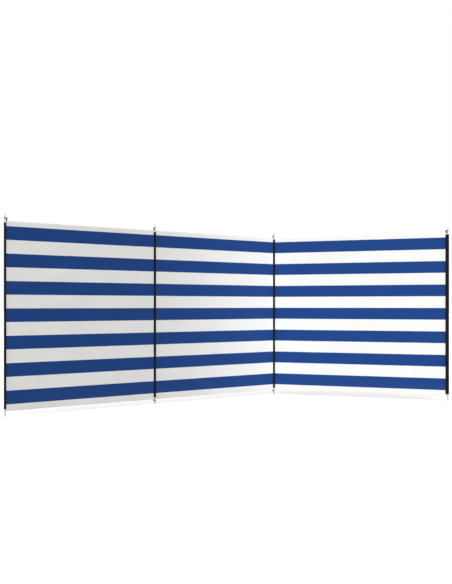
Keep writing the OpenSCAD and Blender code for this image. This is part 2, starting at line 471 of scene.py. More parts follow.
@dataclass(frozen=True)
class Finishes:
    """Every finish of the object, made once and shared by its pieces."""

    cloth: Material
    tape: Material
    white_thread: Material
    black_thread: Material
    elastic: Material
    zinc: Material
    nylon: Material

    @classmethod
    def make(cls) -> "Finishes":
        """Makes all the materials.

        Returns:
            The finishes.
        """
        return cls(
            cloth=StripedPolyester().build(),
            # The second colour of each ribbed finish is painted rib shading: highlight on dark fibre, shade
            # on pale thread.
            # Real ribs are 0.8 mm apart, and are drawn three times as coarse so that they show.
            tape=RibbedFinish("ribbed_polyester_tape", "#0A0A0C", "#1C1C20", rib_mm=2.4).build(),
            white_thread=RibbedFinish("spun_polyester_thread_white", "#E2E1DD", "#C9C7C0", rib_mm=0.8,
                                      relief_m=0.0001).build(),
            black_thread=RibbedFinish("spun_polyester_thread_black", "#161618", "#36363A", rib_mm=0.8,
                                      roughness=(0.5, 0.7), relief_m=0.0001).build(),
            elastic=RibbedFinish("braided_elastic_black", "#060607", "#161618", rib_mm=1.2,
                                 roughness=(0.6, 0.8), relief_m=0.0001).build(),
            zinc=DrawnFinish("drawn_steel_bright_zinc", "#C3C7CA", "#9DA1A3", metallic=1.0,
                             roughness=(0.28, 0.5), line_mm=1.2, line_length_mm=60.0, cloud_mm=25.0,
                             relief_m=0.00005).build(),
            nylon=DrawnFinish("moulded_nylon_pale_grey", "#C4C6C7", "#9FA0A0", metallic=0.0,
                              roughness=(0.38, 0.6), line_mm=2.5, line_length_mm=5.0, cloud_mm=9.0,
                              relief_m=0.00012, ior=1.53).build(),
        )


# Helpers for meshes

def put_in_scene(name: str, data: bpy.types.ID) -> Piece:
    """Makes an object of a mesh, a lamp or a camera, and puts it in the scene.

    Args:
        name: The object's name.
        data: What it shows.

    Returns:
        The new object.
    """
    made = bpy.data.objects.new(name, data)
    bpy.context.scene.collection.objects.link(made)
    return made


def hang(node: str, pieces: Sequence[Piece]) -> None:
    """Hangs pieces on the body that a node of the frame rides, and hides the node.

    Args:
        node: The node.
        pieces: What is hung there.
    """
    for piece in pieces:
        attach(piece, frame["nodes"][node]["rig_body"])
    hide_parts(node)


@dataclass(frozen=True)
class Placement:
    """Where a pole stands, and which way the cloth beside it runs."""

    x_m: float
    y_m: float
    turn_deg: float = 0.0

    @property
    def turn(self) -> Pair:
        """Gives the cosine and the sine of the turn."""
        return math.cos(math.radians(self.turn_deg)), math.sin(math.radians(self.turn_deg))

    def to_row(self, points: np.ndarray) -> np.ndarray:
        """Takes points from the pole's own place to the row frame.

        Args:
            points: Rows of x, y and z, in millimetres.

        Returns:
            The same points in metres.
        """
        cos, sin = self.turn
        x, y, z = points.T
        row_x = self.x_m + MM * (cos * x - sin * y)
        row_y = self.y_m + MM * (sin * x + cos * y)
        return np.column_stack((row_x, row_y, MM * z))

    def to_own(self, point: Sequence[float]) -> Pair:
        """Takes a point of the row frame to the pole's own place.

        Args:
            point: A point in metres, whose height isn't used.

        Returns:
            Its local x and y, in millimetres.
        """
        cos, sin = self.turn
        dx, dy = point[0] - self.x_m, point[1] - self.y_m
        return (cos * dx + sin * dy) / MM, (cos * dy - sin * dx) / MM


@dataclass
class Skin:
    """Points and faces of one piece while it is made, in millimetres."""

    points: list[np.ndarray] = field(default_factory=list)
    faces: list[Face] = field(default_factory=list)
    count: int = 0

    def add(self, points: np.ndarray, faces: Sequence[Face]) -> None:
        """Adds points and the faces between them.

        Args:
            points: Rows of x, y and z.
            faces: Faces that number these points from 0.
        """
        self.points.append(points)
        self.faces.extend(tuple(int(i) + self.count for i in face) for face in faces)
        self.count += len(points)

    def piece(self, name: str, place: Placement, finish: Material) -> Piece:
        """Makes the piece in the row frame, smooth and with its faces turned outwards.

        Args:
            name: The piece's name.
            place: Where it stands.
            finish: Its material.

        Returns:
            The new object.
        """
        mesh = bpy.data.meshes.new(name)
        mesh.from_pydata(place.to_row(np.vstack(self.points)).tolist(), [], self.faces)
        work = bmesh.new()
        work.from_mesh(mesh)
        bmesh.ops.recalc_face_normals(work, faces=work.faces)
        work.to_mesh(mesh)
        work.free()
        mesh.shade_smooth()
        mesh.materials.append(finish)
        return put_in_scene(name, mesh)


def grid_faces(rows: int, columns: int, round_it: bool = False) -> list[Face]:
    """Numbers the quads of a grid whose points run along its rows.

    Args:
        rows: Number of rows.
        columns: Points in a row.
        round_it: Whether a row's last point joins its first.

    Returns:
        The faces.
    """
    faces: list[Face] = []
    for start in range(0, (rows - 1) * columns, columns):
        for c in range(columns if round_it else columns - 1):
            here, beside = start + c, start + (c + 1) % columns
            faces.append((here, beside, beside + columns, here + columns))
    return faces


def add_rings(skin: Skin, points: np.ndarray, rows: int) -> None:
    """Adds a form of closed rings of points, with a flat cap at each end.

    Args:
        skin: What the form is added to.
        points: The points of all the rings, one ring after the other.
        rows: Number of rings.
    """
    around = len(points) // rows
    caps = [tuple(range(start, start + around)) for start in (0, len(points) - around)]
    skin.add(points, [*grid_faces(rows, around, round_it=True), *caps])


def smooth_path(points: Sequence[Sequence[float]], steps: int) -> np.ndarray:
    """Runs a smooth curve through points.

    Args:
        points: The points that the curve passes.
        steps: Number of steps from each point to the next.

    Returns:
        Rows of points on the curve.
    """
    p = np.asarray(points, float)
    p = np.vstack((p[0], p, p[-1]))
    found = []
    for a, b, c, d in zip(p, p[1:], p[2:], p[3:]):
        for t in np.arange(steps) / steps:
            found.append(0.5 * (2 * b + (c - a) * t + (2 * a - 5 * b + 4 * c - d) * t ** 2
                                + (3 * b - 3 * c + d - a) * t ** 3))
    return np.vstack((found, p[-1]))


def add_tube(skin: Skin, path: np.ndarray, radii: np.ndarray) -> None:
    """Adds a closed round tube along a path.

    Args:
        skin: What the tube is added to.
        path: Rows of points on the centre line.
        radii: The radius at each point and each place round it, one row for each point.
    """
    rings, sides = radii.shape
    ahead = np.gradient(path, axis=0)
    ahead /= np.linalg.norm(ahead, axis=1)[:, None]
    # No tube starts along this direction, so it always gives a first spoke.
    off_axis = (0.3, 0.9, 0.2)
    out = np.cross(ahead[0], off_axis)
    angles = np.linspace(0, math.tau, sides, endpoint=False)
    points = []
    for centre, way, radius in zip(path, ahead, radii):
        out = out - way * out.dot(way)
        out /= np.linalg.norm(out)
        spoke = np.outer(np.cos(angles), out) + np.outer(np.sin(angles), np.cross(way, out))
        points.append(centre + spoke * radius[:, None])
    add_rings(skin, np.vstack(points), rings)


@dataclass(frozen=True)
class Stitch:
    """One stitch of sewing thread, as a small pill that lies on the cloth."""

    pitch: float = 5.0
    length: float = 4.0
    width: float = 0.9
    height: float = 0.55
    full_share: float = 0.55
    sunk_share: float = 0.25

    def row(self, start: float, end: float) -> np.ndarray:
        """Gives the middles of the stitches of a row from start to end."""
        count = max(1, round((end - start) / self.pitch))
        return start + (np.arange(count) + 0.5) * (end - start) / count

    def sew(self, skin: Skin, middles: np.ndarray, along: Point, out: Point) -> None:
        """Adds stitches that all lie one way.

        Args:
            skin: What the stitches are added to.
            middles: Rows of points on the cloth, under the middle of each stitch.
            along: Direction of the thread.
            out: Direction away from the cloth.
        """
        a, n = np.asarray(along, float), np.asarray(out, float)
        side = np.cross(n, a)
        half, wide, high = self.length / 2, self.width / 2, self.height
        sunk = -self.sunk_share * high
        section = [side * wide + n * sunk, n * high, -side * wide + n * sunk, n * 2 * sunk]
        pill = [-a * half + n * sunk]
        for share in (-self.full_share, self.full_share):
            pill += [a * half * share + s for s in section]
        pill.append(a * half + n * sunk)
        size, around = len(pill), len(section)
        faces: list[Face] = []
        for k in range(around):
            here, beside = 1 + k, 1 + (k + 1) % around
            faces += [(0, beside, here), (here, beside, beside + around, here + around),
                      (size - 1, here + around, beside + around)]
        points = (middles[:, None, :] + np.array(pill)[None, :, :]).reshape(-1, 3)
        skin.add(points, [tuple(i + size * m for i in face) for m in range(len(middles)) for face in faces])


def ripple(x: np.ndarray, z: np.ndarray, lengths: Pair, seed: int) -> np.ndarray:
    """Sums a few slanting waves to a smooth, uneven ripple of about -1 to 1.

    Args:
        x: Places along the cloth.
        z: Heights.
        lengths: Usual length of a wave along the cloth, and up it.
        seed: Start of the random draws.

    Returns:
        The ripple at each place.
    """
    waves, spread = 7, (0.6, 1.5)
    draw = np.random.default_rng(seed)
    total = np.zeros(np.broadcast(x, z).shape)
    for _ in range(waves):
        along, up = draw.uniform(*spread, 2) * draw.choice((-1, 1), 2)
        total += np.sin(math.tau * (along * x / lengths[0] + up * z / lengths[1]) + draw.uniform(0, math.tau))
    return total / math.sqrt(2 * waves)


# The object

@dataclass(frozen=True)
class Layout:
    """Places and heights that the pieces share, read from the frame, and the sizes that several use."""

    poles: tuple[Placement, ...]
    corner: Placement
    cloth_z: Pair
    sleeve_z: Pair
    tube_z: Pair
    top_z: float
    tube_r: float = 8.0
    neck_r: float = 3.5
    neck_h: float = 7.0
    cloth_thick: float = 0.7
    hem: float = 25.0
    ply_gap: float = 0.85

    @classmethod
    def read(cls) -> "Layout":
        """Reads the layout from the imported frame.

        Returns:
            The layout.
        """
        poles = []
        for i, turn in enumerate((0.0, 0.0, 0.0, -90.0), start=1):
            low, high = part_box(f"pole_{i}")
            poles.append(Placement((low.x + high.x) / 2, (low.y + high.y) / 2, turn))
        heights = {}
        for node in ("middle_cloth", "pocket_2", "pole_2", "pole_top_2"):
            low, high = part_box(node)
            heights[node] = (low.z / MM, high.z / MM)
        return cls(
            poles=tuple(poles),
            corner=Placement(poles[2].x_m, poles[2].y_m, poles[3].turn_deg),
            cloth_z=heights["middle_cloth"],
            sleeve_z=heights["pocket_2"],
            tube_z=heights["pole_2"],
            top_z=heights["pole_top_2"][1],
        )

    def span(self, node: str, place: Placement) -> Pair:
        """Finds where a node starts and ends along the cloth.

        Args:
            node: A node of the frame.
            place: The place whose x is wanted.

        Returns:
            The lowest and highest local x, in millimetres.
        """
        first, second = (place.to_own(corner)[0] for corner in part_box(node))
        return min(first, second), max(first, second)

    def between(self, left: str, right: str, place: Placement) -> Pair:
        """Gives the local x at which a bay's free cloth starts and ends, between two nodes."""
        return self.span(left, place)[1], self.span(right, place)[0]

    def from_edge(self, z: np.ndarray) -> np.ndarray:
        """Gives how far heights are from the nearer edge of the cloth."""
        low, high = self.cloth_z
        return np.minimum(z - low, high - z)


@dataclass
class ClothBay:
    """One bay of striped cloth, with a folded hem along its top and bottom edges."""

    name: str
    layout: Layout
    place: Placement
    seams: Pair
    poles: tuple[str, str]
    seed: int
    edge: Optional["SewnTape"] = None
    seam_from_edge: float = 20.0
    column_mm: float = 8.0
    row_mm: float = 12.0
    # Each kind of wave has its height, and its usual lengths along the bay and up it.
    slack: float = 1.6
    slack_waves: Pair = (900.0, 260.0)
    slack_fullness: float = 0.6
    fine_slack: float = 0.5
    fine_waves: Pair = (260.0, 420.0)
    pucker: float = 0.5
    hem_share: float = 0.5
    hem_waves: Pair = (46.0, 400.0)
    hem_fade: float = 16.0
    seam_waves: Pair = (300.0, 64.0)
    seam_fade: float = 45.0
    seam_held: float = 20.0

    @property
    def ends(self) -> Pair:
        """Gives the local x of the cloth's two cut edges."""
        return self.layout.span(f"{self.name}_cloth", self.place)

    def bulge(self, x: np.ndarray, z: np.ndarray) -> np.ndarray:
        """Gives how far the cloth stands behind its flat place. Nothing moves inside a seam.

        Args:
            x: Places along the bay.
            z: Heights.

        Returns:
            The distance to the back at each place.
        """
        left, right = self.seams
        share = np.clip((x - left) / (right - left), 0, 1)
        held = np.sin(math.pi * share) ** self.slack_fullness
        broad = ripple(x, z, self.slack_waves, self.seed)
        fine = ripple(x, z, self.fine_waves, self.seed + 1)
        from_hem = np.abs(self.layout.from_edge(z) - self.seam_from_edge)
        gathers = np.exp(-from_hem / self.hem_fade) * ripple(x, z, self.hem_waves, self.seed + 2)
        from_seam = np.minimum(x - left, right - x)
        drawn = np.exp(-np.abs(from_seam) / self.seam_fade) * ripple(x, z, self.seam_waves, self.seed + 3)
        puckers = np.clip(from_seam / self.seam_held, 0, 1) * self.pucker * (self.hem_share * gathers + drawn)
        return held * (self.slack * broad + self.fine_slack * fine) + puckers

    def profile(self) -> tuple[np.ndarray, np.ndarray]:
        """Follows the cloth from one raw edge to the other, round both hems.

        Returns:
            The distance behind the front ply, and the height, at each row.
        """
        low, high = self.layout.cloth_z
        r = self.layout.ply_gap / 2
        turn = np.linspace(0, math.pi, 6)[1:-1]
        hem = np.linspace(self.layout.hem, r, 4)
        hem_behind = np.full(len(hem), 2 * r)
        rows = np.linspace(low + r, high - r, round((high - low) / self.row_mm))
        behind = np.concatenate((hem_behind, r + r * np.cos(turn), np.zeros(len(rows)),
                                 r - r * np.cos(turn), hem_behind))
        height = np.concatenate((low + hem, low + r - r * np.sin(turn), rows,
                                 high - r + r * np.sin(turn), high - hem[::-1]))
        return behind, height

    def sheet(self, finish: Material) -> Piece:
        """Makes the cloth as one thin closed sheet.

        Args:
            finish: Its material.

        Returns:
            The sheet.
        """
        left, right = self.ends
        behind, height = self.profile()
        x = np.linspace(left, right, round((right - left) / self.column_mm))
        across, up = np.meshgrid(x, height)
        mid = np.dstack((across, behind[:, None] + self.bulge(across, up), up))
        facing = np.cross(np.gradient(mid, axis=1), np.gradient(mid, axis=0))
        facing /= np.linalg.norm(facing, axis=2)[:, :, None]
        half = self.layout.cloth_thick / 2
        front, rear = mid + facing * half, mid - facing * half
        noses = [mid[:, 0] - (half, 0, 0), mid[:, -1] + (half, 0, 0)]
        rows, columns = across.shape
        size = rows * columns
        faces = grid_faces(rows, columns)
        faces += [tuple(i + size for i in reversed(face)) for face in faces]
        for r in (0, (rows - 1) * columns):
            faces += [(r + c, r + c + 1, size + r + c + 1, size + r + c) for c in range(columns - 1)]
        for k, c in enumerate((0, columns - 1)):
            nose = 2 * size + k * rows
            for r in range(rows - 1):
                a, b = r * columns + c, (r + 1) * columns + c
                faces += [(a, b, nose + r + 1, nose + r), (size + a, size + b, nose + r + 1, nose + r)]
            faces += [(r * columns + c, size + r * columns + c, nose + r) for r in (0, rows - 1)]
        skin = Skin()
        skin.add(np.vstack((front.reshape(-1, 3), rear.reshape(-1, 3), *noses)), faces)
        return skin.piece(f"{self.name}_cloth_sheet", self.place, finish)

    def stitching(self, finish: Material) -> Piece:
        """Sews both hems: a row of stitches on the front of the cloth, and its other side behind.

        Args:
            finish: The thread's material.

        Returns:
            The stitches, as one piece.
        """
        stitch, skin = Stitch(), Skin()
        margin = 2.0
        x = stitch.row(self.seams[0] + margin, self.seams[1] - margin)
        half = self.layout.cloth_thick / 2
        low, high = self.layout.cloth_z
        for z in (low + self.seam_from_edge, high - self.seam_from_edge):
            up = np.full_like(x, z)
            middle = self.bulge(x, up)
            rear = middle + self.layout.ply_gap + half
            stitch.sew(skin, np.column_stack((x, middle - half, up)), ALONG, FRONT)
            stitch.sew(skin, np.column_stack((x, rear, up)), ALONG, BACK)
        return skin.piece(f"{self.name}_cloth_stitching", self.place, finish)

    def build(self, finishes: Finishes) -> list[Piece]:
        """Makes the bay's pieces and hangs them on its body.

        Args:
            finishes: The finishes to choose from.

        Returns:
            The pieces.
        """
        sheet, stitching = self.sheet(finishes.cloth), self.stitching(finishes.white_thread)
        hang(f"{self.name}_cloth", (sheet, stitching))
        (left, right), (low, high) = self.ends, self.layout.cloth_z
        sewn_on = [stitching, *(self.edge.pieces(finishes) if self.edge else ())]
        return [sheet, *sewn_on]


@dataclass
class SewnTape:
    """Black tape folded over the edge of a bay's cloth beside a pole, and sewn through."""

    node: str
    place: Placement
    side: Side
    layout: Layout
    seed: int
    tape: float = 0.8
    # Measured from the fold: where the plies lie flat, and where they are most of the way apart.
    flat_from: float = 1.4
    bend: float = 0.45
    bend_share: float = 0.8
    flat_edge: float = 1.2
    flat_edge_room: float = 1.5
    seam_line: float = 2.0
    second_line: float = 12.2
    second_line_reach: float = 15.0
    tack: Stitch = Stitch(length=2.6, width=0.7)
    tack_pitch: float = 0.8
    tacks: int = 5
    turned_in: float = 9.0
    doubled: float = 0.14
    hem_slope: float = 4.0
    ring_mm: float = 13.0
    point_mm: float = 3.0
    loose: float = 0.07
    loose_waves: Pair = (170.0, 90.0)
    wander: float = 0.2
    wander_waves: Pair = (70.0, 70.0)
    width: float = 0.0

    @property
    def reach(self) -> float:
        """Gives how far the sewn plies reach from the pole's axis."""
        ends = self.layout.span(self.node, self.place)
        return ends[1] if self.side is Side.RIGHT else -ends[0]

    @property
    def ply_y(self) -> float:
        """Gives how far a ply's middle lies from the middle of the cloth."""
        return (self.layout.cloth_thick + self.tape) / 2

    def fold(self) -> list[Pair]:
        """Draws the middle of the tape from its front ply to the middle of its fold, for the right side.

        Returns:
            Local x and y of each point.
        """
        inner = self.layout.span(self.node, self.place)[0 if self.side is Side.RIGHT else 1]
        nose = abs(inner) + self.tape / 2
        bend = (nose + self.bend, -self.bend_share * self.ply_y)
        return [(nose + self.flat_from, -self.ply_y), bend, (nose, 0.0)]

    def outline(self) -> np.ndarray:
        """Draws the tape's section along its middle, from the edge of its front ply to that of its back ply.

        Returns:
            Rows of local x and y.
        """
        fold = self.fold()
        front = [(self.reach, -self.ply_y), *fold]
        # A narrow ply has no room for a flat edge.
        if self.reach - fold[0][0] > self.flat_edge_room:
            front.insert(1, (self.reach - self.flat_edge, -self.ply_y))
        back = [(x, -y) for x, y in reversed(front[:-1])]
        return np.array([(self.side.value * x, y) for x, y in (*front, *back)])

    def over_hem(self, z: np.ndarray) -> np.ndarray:
        """Gives how far the back ply is pushed out by the hem under it, at each height."""
        past_hem = self.layout.hem + self.hem_slope - self.layout.from_edge(z)
        return self.layout.ply_gap * np.clip(past_hem / self.hem_slope, 0, 1)

    def tape_piece(self, finish: Material) -> tuple[Piece, float]:
        """Makes the tape, with its ends turned in.

        Args:
            finish: Its material.

        Returns:
            The tape, and the width of its section laid flat.
        """
        path = smooth_path([(x, y, 0.0) for x, y in self.outline()], 2)
        width = float(np.linalg.norm(np.diff(path, axis=0), axis=1).sum())
        ahead = np.gradient(path, axis=0)
        out = np.column_stack((ahead[:, 1], -ahead[:, 0], np.zeros(len(path)))) * self.side.value
        out /= np.linalg.norm(out, axis=1)[:, None]
        low, high = self.layout.sleeve_z
        inner = np.linspace(low + self.turned_in, high - self.turned_in, round((high - low) / self.ring_mm))
        ends = np.array([0.0, 0.5, self.turned_in - 1.0])
        heights = np.concatenate((low + ends, inner, high - ends[::-1]))
        from_fold = np.abs(path[:, 0]) - (self.fold()[0][0] - self.flat_from)
        pushed = np.where(path[:, 1] > 0, np.clip(from_fold / self.bend, 0, 1), 0.0)
        # Only the two cut edges wander, and only the very end of the tape isn't doubled.
        cut_edges = np.linspace(-1, 1, len(path)) ** 8
        rim = 0.2
        along = np.arange(len(path)) * self.point_mm
        half = self.tape / 2
        rings = []
        for z, hem in zip(heights, self.over_hem(heights)):
            doubled = self.doubled if rim < min(z - low, high - z) < self.turned_in else 0.0
            slack = self.loose * (1 + ripple(np.array(z), along, self.loose_waves, self.seed))
            wander = self.wander * ripple(np.array(z), np.zeros(1), self.wander_waves, self.seed + 1)
            base = path + out * slack[:, None] + np.outer(cut_edges, ALONG) * wander * self.side.value
            base = base + np.outer(pushed * hem, BACK) + (0, 0, z)
            rings.append(np.vstack((base + out * (half + doubled), (base - out * half)[::-1])))
        rows, columns = len(rings), len(rings[0])
        faces = grid_faces(rows, columns, round_it=True)
        for first in (0, (rows - 1) * columns):
            last = first + columns - 1
            faces += [(first + c, first + c + 1, last - c - 1, last - c) for c in range(columns // 2 - 1)]
        skin = Skin()
        skin.add(np.vstack(rings), faces)
        return skin.piece(f"{self.node}_tape", self.place, finish), width

    def stitching(self, finish: Material) -> Piece:
        """Sews through both plies, with a bar of close stitches at each end.

        Args:
            finish: The thread's material.

        Returns:
            The stitches, as one piece.
        """
        # A stitch stays where the plies lie flat, also on a narrow edge.
        lines = [max(self.reach - self.seam_line, self.fold()[0][0])]
        if self.reach > self.second_line_reach:
            lines.append(self.second_line)
        tack_length = min(self.tack.length, 2 * (self.reach - lines[0]))
        stitch, tack, skin = Stitch(), Stitch(length=tack_length, width=self.tack.width), Skin()
        low, high = self.layout.sleeve_z
        margin, tack_lift, tack_below = 3.0, 0.35, 2.0
        z = stitch.row(low + margin, high - margin)
        face = self.ply_y + self.tape / 2 + self.loose
        for line in lines:
            across = np.full_like(z, self.side.value * line)
            stitch.sew(skin, np.column_stack((across, np.full_like(z, -face), z)), UP, FRONT)
            stitch.sew(skin, np.column_stack((across, face + self.over_hem(z), z)), UP, BACK)
        for end in (low + self.turned_in, high - self.turned_in):
            bar = end - tack_below + np.arange(self.tacks) * self.tack_pitch
            across = np.full_like(bar, self.side.value * lines[0])
            middles = np.column_stack((across, np.full_like(bar, -face - tack_lift), bar))
            tack.sew(skin, middles, ALONG, FRONT)
        return skin.piece(f"{self.node}_stitching", self.place, finish)

    def pieces(self, finishes: Finishes) -> tuple[Piece, Piece]:
        """Makes the tape and its stitches, and hangs them on the tape's body.

        Args:
            finishes: The finishes to choose from.

        Returns:
            The tape and the stitches.
        """
        tape, self.width = self.tape_piece(finishes.tape)
        stitching = self.stitching(finishes.black_thread)
        hang(self.node, (tape, stitching))
        return tape, stitching


@dataclass
class PoleSleeve(SewnTape):
    """Tape that goes right round a pole before its plies meet on the cloth."""

    ease: float = 0.36
    # The ply leaves the tube in a hollow curve: how far each point is out from the tube and from the ply.
    hollow: tuple[Pair, ...] = ((1.9, 0.0), (0.9, 0.25), (0.15, 1.55))
    wrap_deg: Pair = (30.0, 180.0)
    wrap_points: int = 17

    @property
    def pole(self) -> str:
        """Gives the name of the pole inside."""
        return self.node.replace("pocket", "pole")

    def fold(self) -> list[Pair]:
        """Draws the middle of the tape from its front ply round the pole to its far side, for the right side.

        Returns:
            Local x and y of each point.
        """
        r = self.layout.tube_r + self.ease + self.tape / 2
        hollow = [(r + out, -self.ply_y - off) for out, off in self.hollow]
        turns = np.radians(np.linspace(*self.wrap_deg, self.wrap_points))
        return hollow + [(r * math.cos(a), -r * math.sin(a)) for a in turns]

    def build(self, finishes: Finishes) -> list[Piece]:
        """Makes the sleeve's pieces as a sheet that is wrapped round its pole.

        Args:
            finishes: The finishes to choose from.

        Returns:
            The pieces.
        """
        tape, stitching = self.pieces(finishes)
        return [tape, stitching]


@dataclass
class Pole:
    """A steel tube, which keeps its solid, and the moulded plugs in both its ends."""

    number: int
    layout: Layout
    plug_r: float = 7.0
    plug_h: float = 12.0
    collar_h: float = 3.5
    barb_r: float = 5.5
    spike_r: float = 3.5
    tip_h: float = 3.0
    foot_r: float = 2.5
    cap_r: float = 0.2
    round_r: float = 0.7
    round_share: float = 0.45
    round_points: int = 5
    segments: int = 36

    def _turned(self, corners: Sequence[Pair]) -> np.ndarray:
        """Rounds the corners of a turned outline.

        Args:
            corners: Radius and height of each corner, from one end to the other.

        Returns:
            Rows of radius and height.
        """
        points = np.asarray(corners, float)
        found = [points[0]]
        for before, at, after in zip(points, points[1:], points[2:]):
            sides = []
            for other in (before, after):
                length = np.linalg.norm(other - at)
                sides.append(at + (other - at) * min(self.round_r, self.round_share * length) / length)
            for t in np.linspace(0, 1, self.round_points):
                found.append((1 - t) ** 2 * sides[0] + 2 * t * (1 - t) * at + t ** 2 * sides[1])
        return np.vstack((found, points[-1]))

    def _corners(self, end: End) -> list[Pair]:
        """Draws the plug of one end, from inside the tube outwards.

        Args:
            end: Which end of the pole.

        Returns:
            Radius and height of each corner.
        """
        layout, out = self.layout, end.value
        mouth = layout.tube_z[1 if end is End.TOP else 0]
        inside, neck = mouth - out * self.plug_h, mouth + out * layout.neck_h
        collar = neck + out * self.collar_h
        corners = [(self.cap_r, inside), (self.plug_r, inside), (self.plug_r, mouth),
                   (layout.neck_r, mouth), (layout.neck_r, neck)]
        if end is End.TOP:
            tip = layout.top_z
            return corners + [(self.barb_r, neck), (self.spike_r, collar), (self.spike_r, tip - self.tip_h),
                              (self.spike_r / 2, tip), (self.cap_r, tip)]
        return corners + [(layout.tube_r, neck), (layout.tube_r, collar), (self.foot_r, 0.0),
                          (self.cap_r, 0.0)]

    def plug(self, end: End, finish: Material) -> Piece:
        """Makes the plug of one end and hangs it on the pole's body.

        Args:
            end: Which end of the pole.
            finish: Its material.

        Returns:
            The plug.
        """
        node = f"pole_{'top' if end is End.TOP else 'foot'}_{self.number}"
        outline = self._turned(self._corners(end))
        turns = np.linspace(0, math.tau, self.segments, endpoint=False)
        radius, height = outline[:, 0][:, None], outline[:, 1][:, None]
        points = np.dstack((radius * np.cos(turns), radius * np.sin(turns), height * np.ones_like(turns)))
        skin = Skin()
        add_rings(skin, points.reshape(-1, 3), len(outline))
        piece = skin.piece(f"{node}_plug", self.layout.poles[self.number - 1], finish)
        hang(node, (piece,))
        return piece

    def build(self, finishes: Finishes) -> list[Piece]:
        """Makes both plugs and gives the tube its finish.

        Args:
            finishes: The finishes to choose from.

        Returns:
            The tube and the plugs.
        """
        tube = frame["nodes"][f"pole_{self.number}"]
        for slot in tube.material_slots:
            slot.material = finishes.zinc
        return [tube, *(self.plug(end, finishes.nylon) for end in End)]


@dataclass
class ElasticLoop:
    """A loop of braided elastic cord from the back of the hem round the neck of an end plug."""

    number: int
    end: End
    side: Side
    layout: Layout
    cord: float = 4.5
    top_stand: float = 5.4
    bottom_stand: float = 9.0
    hem_back: float = 1.2
    fit: float = 0.3
    pressed: float = 0.74
    lap: float = 10.5
    strands: int = 8
    braid_turn: float = 11.0
    braid_low: float = 0.9
    braid_rise: float = 0.11
    sides: int = 24
    thread_r: float = 0.35
    tack_count: int = 7
    tack_over: float = 0.5

    @property
    def node(self) -> str:
        """Gives the name of the loop's node."""
        return f"{self.end.name.lower()}_loop_{self.number}"

    def _around(self, radius: float, turn_deg: float, z: float) -> Point:
        """Gives a point round the pole, turned from its left towards its front."""
        turn = math.radians(turn_deg)
        return -radius * math.cos(turn), -radius * math.sin(turn), z

    def route(self) -> np.ndarray:
        """Lays the cord's centre line, for a top loop to the left of its pole, from the hem's edge up.

        Returns:
            Rows of points that the cord passes.
        """
        tube, cloth = self.layout.tube_z, self.layout.cloth_z
        at_top = self.end is End.TOP
        rise = tube[1] - cloth[1] if at_top else cloth[0] - tube[0]
        ring = self.layout.neck_r + 2 * self.fit + self.cord / 2
        past = self.layout.tube_r + 0.665 * self.cord
        sewn_y = self.hem_back + self.pressed * self.cord / 2
        inner = self.layout.tube_r + (self.top_stand if at_top else self.bottom_stand)
        outer = inner + self.cord + 2 * self.fit
        level = rise + self.layout.neck_h / 2
        # Each leg is sewn to the hem, lowest at its middle. The turns and shares follow the solid's own path.
        sewn = [(sewn_y - 0.2, -self.lap), (sewn_y, -0.55 * self.lap), (sewn_y - 0.2, 0.0)]
        return np.array([
            *((-outer, y, z) for y, z in sewn),
            (-outer, 0.4, 0.4 * rise),
            self._around(inner + self.cord, 8, 0.91 * rise),
            self._around(past, 49, level),
            *(self._around(ring, turn, level) for turn in np.linspace(97, 263, 8)),
            self._around(past, 311, level),
            self._around(inner + 0.18 * self.cord, 346.3, 0.97 * rise),
            (-inner, 0.8, 0.4 * rise),
            *((-inner, y, z) for y, z in reversed(sewn)),
        ])

    def _in_place(self, points: np.ndarray) -> np.ndarray:
        """Mirrors points to this loop's side and end, and sets them at the cloth's edge."""
        edge = self.layout.cloth_z[1 if self.end is End.TOP else 0]
        return points * (-self.side.value, 1, self.end.value) + (0, 0, edge)

    def cord_piece(self, finish: Material) -> Piece:
        """Makes the braided cord.

        Args:
            finish: Its material.

        Returns:
            The cord.
        """
        path = smooth_path(self.route(), 10)
        run = np.concatenate(([0.0], np.cumsum(np.linalg.norm(np.diff(path, axis=0), axis=1))))
        turns = np.linspace(0, math.tau, self.sides, endpoint=False)[None, :]
        twist = (run / self.braid_turn * math.tau)[:, None]
        crossing = np.maximum(np.abs(np.cos(self.strands / 2 * (turns + twist))),
                              np.abs(np.cos(self.strands / 2 * (turns - twist))))
        # Stitches press the cord flat where it lies on the hem, and its cut ends are drawn in.
        flat = np.interp(path[:, 2], (-self.lap, -1.0, 5.0), (self.pressed, self.pressed, 1.0))
        drawn_in = np.interp(np.minimum(run, run[-1] - run), (0.0, 0.6, 1.4), (0.35, 0.8, 1.0))
        braided = self.braid_low + self.braid_rise * crossing
        skin = Skin()
        add_tube(skin, self._in_place(path), self.cord / 2 * (flat * drawn_in)[:, None] * braided)
        return skin.piece(f"{self.node}_cord", self.layout.poles[self.number - 1], finish)

    def tacks(self, finish: Material) -> Piece:
        """Sews both legs of the cord to the hem with a bar of close stitches.

        Args:
            finish: The thread's material.

        Returns:
            The stitches, as one piece.
        """
        skin = Skin()
        route = self.route()
        lift = self.pressed * self.cord / 2
        points, sides, sunk, fullness = 7, 6, 0.2, 0.8
        arch = np.linspace(0, math.pi, points)
        radii = np.full((points, sides), self.thread_r)
        y = self.hem_back - sunk + (2 * lift + self.tack_over) * np.sin(arch) ** fullness
        for leg in (route[1], route[-2]):
            x = leg[0] + (lift + self.tack_over) * np.cos(arch)
            for k in range(self.tack_count):
                z = leg[2] + (k - self.tack_count / 2) * 2 * self.thread_r
                add_tube(skin, self._in_place(np.column_stack((x, y, np.full_like(arch, z)))), radii)
        return skin.piece(f"{self.node}_tacks", self.layout.poles[self.number - 1], finish)

    def build(self, finishes: Finishes) -> list[Piece]:
        """Makes the loop's pieces and hangs them on the body of the bay that it is sewn to.

        Args:
            finishes: The finishes to choose from.

        Returns:
            The pieces.
        """
        pieces = [self.cord_piece(finishes.elastic), self.tacks(finishes.black_thread)]
        hang(self.node, pieces)
        return pieces


# The studio

